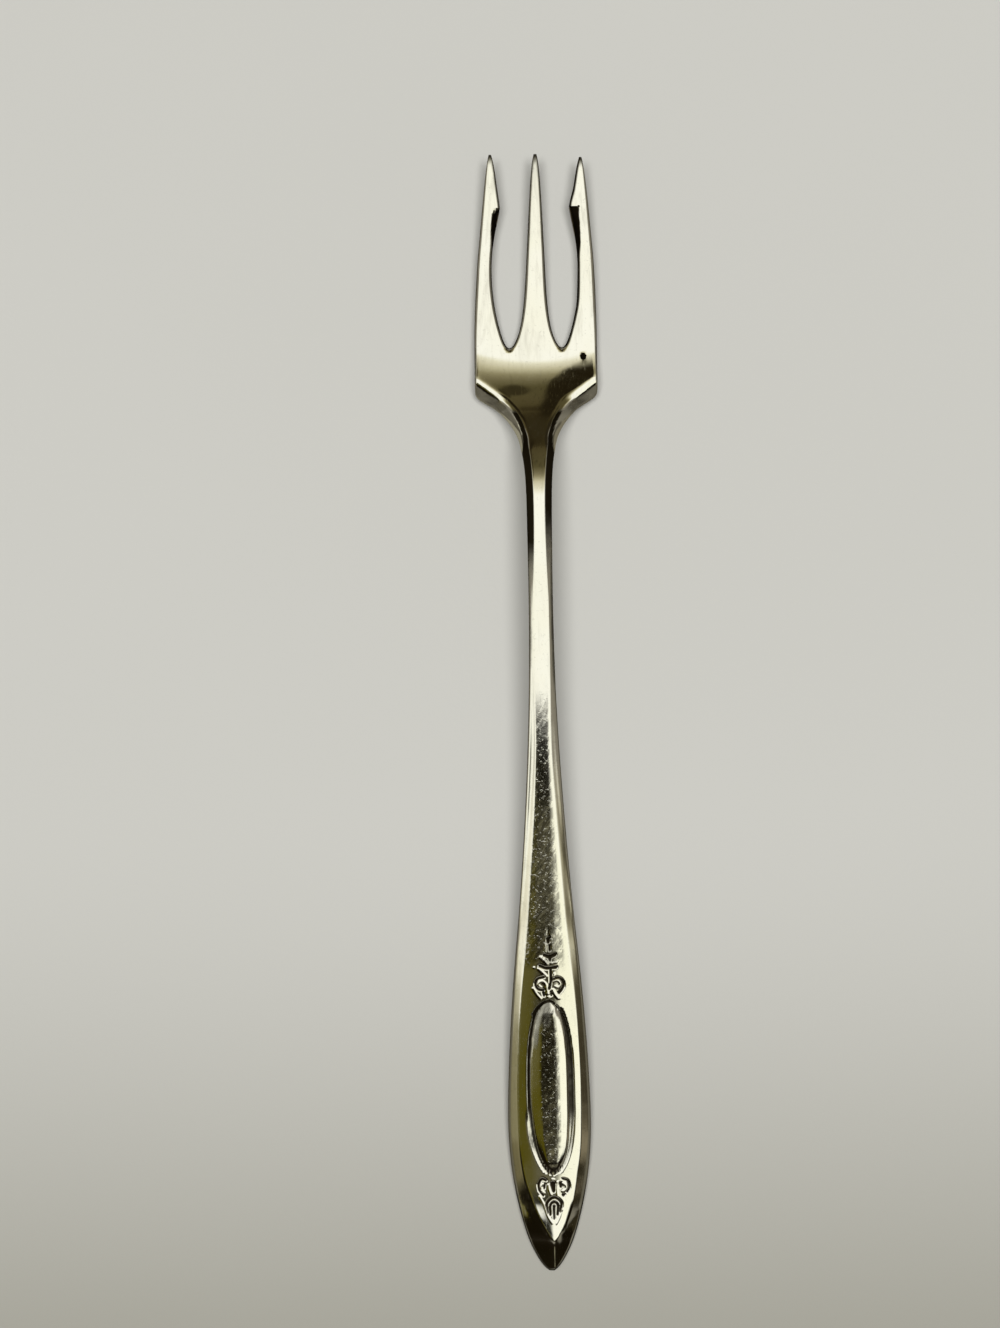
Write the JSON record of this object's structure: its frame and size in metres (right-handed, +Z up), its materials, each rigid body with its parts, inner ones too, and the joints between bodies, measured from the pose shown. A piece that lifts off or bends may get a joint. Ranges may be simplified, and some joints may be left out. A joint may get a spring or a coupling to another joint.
{
  "type": "pickle fork",
  "caption": "Short pickle fork with barbed outer tines, a slim arched stem and a lancet handle with a raised oval medallion, struck in one piece and silver plated.",
  "frame": {"origin": "on the plane that the fork rests on, under the middle of its length and width", "axes": "+X across the fork, +Y along it from the handle towards the tine tips, +Z up, out of its upper face"},
  "size_m": [0.0168, 0.153, 0.0091],
  "materials": {
    "nickel_silver": "satin",
    "silver_plate": "polished"
  },
  "bodies": {
    "root": {"fork_blank": "nickel_silver", "silver_plating": "silver_plate"}
  },
  "joints": []
}
